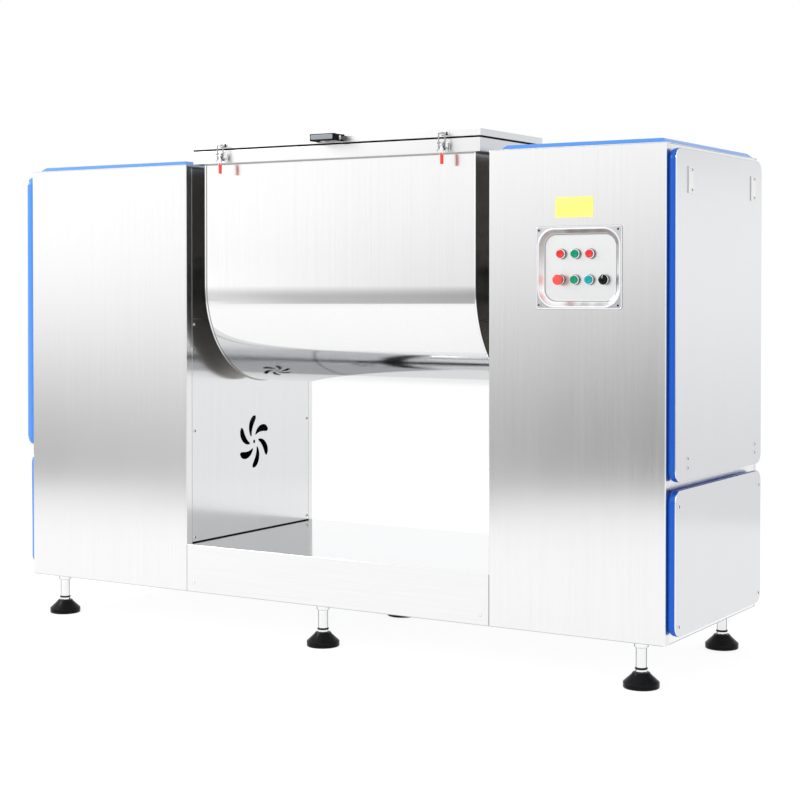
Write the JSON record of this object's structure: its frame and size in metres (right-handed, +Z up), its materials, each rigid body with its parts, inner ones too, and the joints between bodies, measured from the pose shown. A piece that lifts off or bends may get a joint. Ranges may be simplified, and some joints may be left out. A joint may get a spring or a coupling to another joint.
{
  "type": "ribbon mixer",
  "caption": "Ribbon mixer whose lidded U-shaped trough tips forward between a drive pedestal and a control pedestal, with ribbon agitator, toggle clamps, buttons and levelling feet.",
  "frame": {"origin": "middle of the whole object seen from above, on the floor that the feet stand on", "axes": "+X from the drive pedestal to the control pedestal, along the agitator shaft; +Y from the front with the controls to the rear; +Z up"},
  "size_m": [2.434, 0.825, 1.603],
  "materials": {
    "frame_steel": "satin paint",
    "brushed": "vertical brushed",
    "mirror_steel": "near-mirror polished",
    "blue_paint": "gloss blue paint",
    "foot_rubber": "matte black",
    "bright_steel": "polished",
    "cast_grey": "grey casting",
    "drive_blue": "dark blue enamel",
    "gear_steel": "machined",
    "gasket_rubber": "matte black",
    "seal_white": "smooth white fluoroplastic",
    "black_plastic": "fine matte",
    "aluminium": "satin anodised",
    "box_paint": "light grey paint",
    "yellow_plate": "blank yellow",
    "red_plastic": "gloss red",
    "green_plastic": "gloss green",
    "teal_plastic": "gloss blue-green",
    "lever_steel": "polished, with a red vinyl grip"
  },
  "bodies": {
    "base": {"machine_frame": "frame_steel", "front_panels": "brushed", "inner_panels": "brushed", "vent_covers": "brushed", "rear_panels": "brushed", "outer_panels": "brushed", "top_panels": "brushed", "top_caps": "blue_paint", "floor_pans": "brushed", "base_cover": "brushed", "door_trays": "blue_paint", "door_skins": "brushed", "hanger_plates": "brushed", "panel_screws": "bright_steel", "foot_pads": "foot_rubber", "foot_nuts": "bright_steel", "foot_stems": "bright_steel", "trunnion_bearings": "cast_grey", "drive_reducer": "drive_blue", "drive_motor": "drive_blue", "tilt_reducer": "drive_blue", "tilt_motor": "drive_blue", "control_panel": "brushed", "button_bezels": "bright_steel", "control_box": "box_paint", "label_plate": "yellow_plate", "cable_gland": "black_plastic"},
    "trough": {"trough_shell": "mirror_steel", "trough_ends": "mirror_steel", "trunnions": "gear_steel", "shaft_seals": "seal_white", "shaft_bearings": "gear_steel", "tilt_gear": "gear_steel", "trough_rim": "mirror_steel", "rim_gasket": "gasket_rubber", "rear_cover": "mirror_steel", "lower_hinges": "bright_steel", "clamp_bases": "bright_steel"},
    "lid": {"lid_panel": "mirror_steel", "upper_hinges": "bright_steel", "handle_frame": "black_plastic", "handle_facing": "aluminium", "clamp_keepers": "bright_steel"},
    "left_lever": {"left_clamp_lever": "lever_steel"},
    "left_bail": {"left_clamp_bail": "bright_steel"},
    "right_lever": {"right_clamp_lever": "lever_steel"},
    "right_bail": {"right_clamp_bail": "bright_steel"},
    "agitator": {"agitator_shaft": "mirror_steel", "agitator_arms": "mirror_steel", "agitator_ribbons": "mirror_steel", "drive_coupling": "cast_grey"},
    "pinion": {"tilt_pinion": "gear_steel"},
    "button_top_left_part": {"button_top_left": "red_plastic"},
    "button_top_middle_part": {"button_top_middle": "green_plastic"},
    "button_top_right_part": {"button_top_right": "red_plastic"},
    "button_low_middle_part": {"button_low_middle": "green_plastic"},
    "button_low_right_part": {"button_low_right": "teal_plastic"},
    "stop_button_part": {"stop_button": "red_plastic"},
    "selector_knob_part": {"selector_knob": "black_plastic"}
  },
  "joints": [
    {"name": "trough_tilt", "type": "hinge", "parent": "base", "child": "trough", "pos_m": [0.0625, -0.0125, 1.139], "axis": [1, 0, 0], "range_deg": [0, 100]},
    {"name": "agitator_spin", "type": "hinge", "parent": "base", "child": "agitator", "pos_m": [0.0625, -0.0125, 1.139], "axis": [1, 0, 0], "continuous": true},
    {"name": "tilt_pinion_spin", "type": "hinge", "parent": "base", "child": "pinion", "pos_m": [0.6835, -0.0125, 0.914], "axis": [1, 0, 0], "range_deg": [-405, 5]},
    {"name": "lid_hinge", "type": "hinge", "parent": "trough", "child": "lid", "pos_m": [0.0625, 0.0485, 1.586], "axis": [-1, 0, 0], "range_deg": [0, 100]},
    {"name": "left_lever_swing", "type": "hinge", "parent": "trough", "child": "left_lever", "pos_m": [-0.3465, -0.3795, 1.556], "axis": [-1, 0, 0], "range_deg": [0, 165]},
    {"name": "left_bail_swing", "type": "hinge", "parent": "left_lever", "child": "left_bail", "pos_m": [-0.3465, -0.3795, 1.544], "axis": [-1, 0, 0], "range_deg": [-170, 5]},
    {"name": "right_lever_swing", "type": "hinge", "parent": "trough", "child": "right_lever", "pos_m": [0.4775, -0.3795, 1.556], "axis": [-1, 0, 0], "range_deg": [0, 165]},
    {"name": "right_bail_swing", "type": "hinge", "parent": "right_lever", "child": "right_bail", "pos_m": [0.4775, -0.3795, 1.544], "axis": [-1, 0, 0], "range_deg": [-170, 5]},
    {"name": "button_top_left_press", "type": "slide", "parent": "base", "child": "button_top_left_part", "axis": [0, 1, 0], "range_m": [0, 0.004], "stiffness_N_per_m": 400},
    {"name": "button_top_middle_press", "type": "slide", "parent": "base", "child": "button_top_middle_part", "axis": [0, 1, 0], "range_m": [0, 0.004], "stiffness_N_per_m": 400},
    {"name": "button_top_right_press", "type": "slide", "parent": "base", "child": "button_top_right_part", "axis": [0, 1, 0], "range_m": [0, 0.004], "stiffness_N_per_m": 400},
    {"name": "button_low_middle_press", "type": "slide", "parent": "base", "child": "button_low_middle_part", "axis": [0, 1, 0], "range_m": [0, 0.004], "stiffness_N_per_m": 400},
    {"name": "button_low_right_press", "type": "slide", "parent": "base", "child": "button_low_right_part", "axis": [0, 1, 0], "range_m": [0, 0.004], "stiffness_N_per_m": 400},
    {"name": "stop_button_press", "type": "slide", "parent": "base", "child": "stop_button_part", "axis": [0, 1, 0], "range_m": [0, 0.006]},
    {"name": "selector_turn", "type": "hinge", "parent": "base", "child": "selector_knob_part", "pos_m": [0.9926, -0.3605, 1.1552], "axis": [0, 1, 0], "range_deg": [-135, 135]}
  ],
  "couplings": [
    {"joint": "tilt_pinion_spin", "follows": "trough_tilt", "ratio": -4},
    {"joint": "left_bail_swing", "follows": "left_lever_swing", "ratio": -1},
    {"joint": "right_bail_swing", "follows": "right_lever_swing", "ratio": -1}
  ]
}
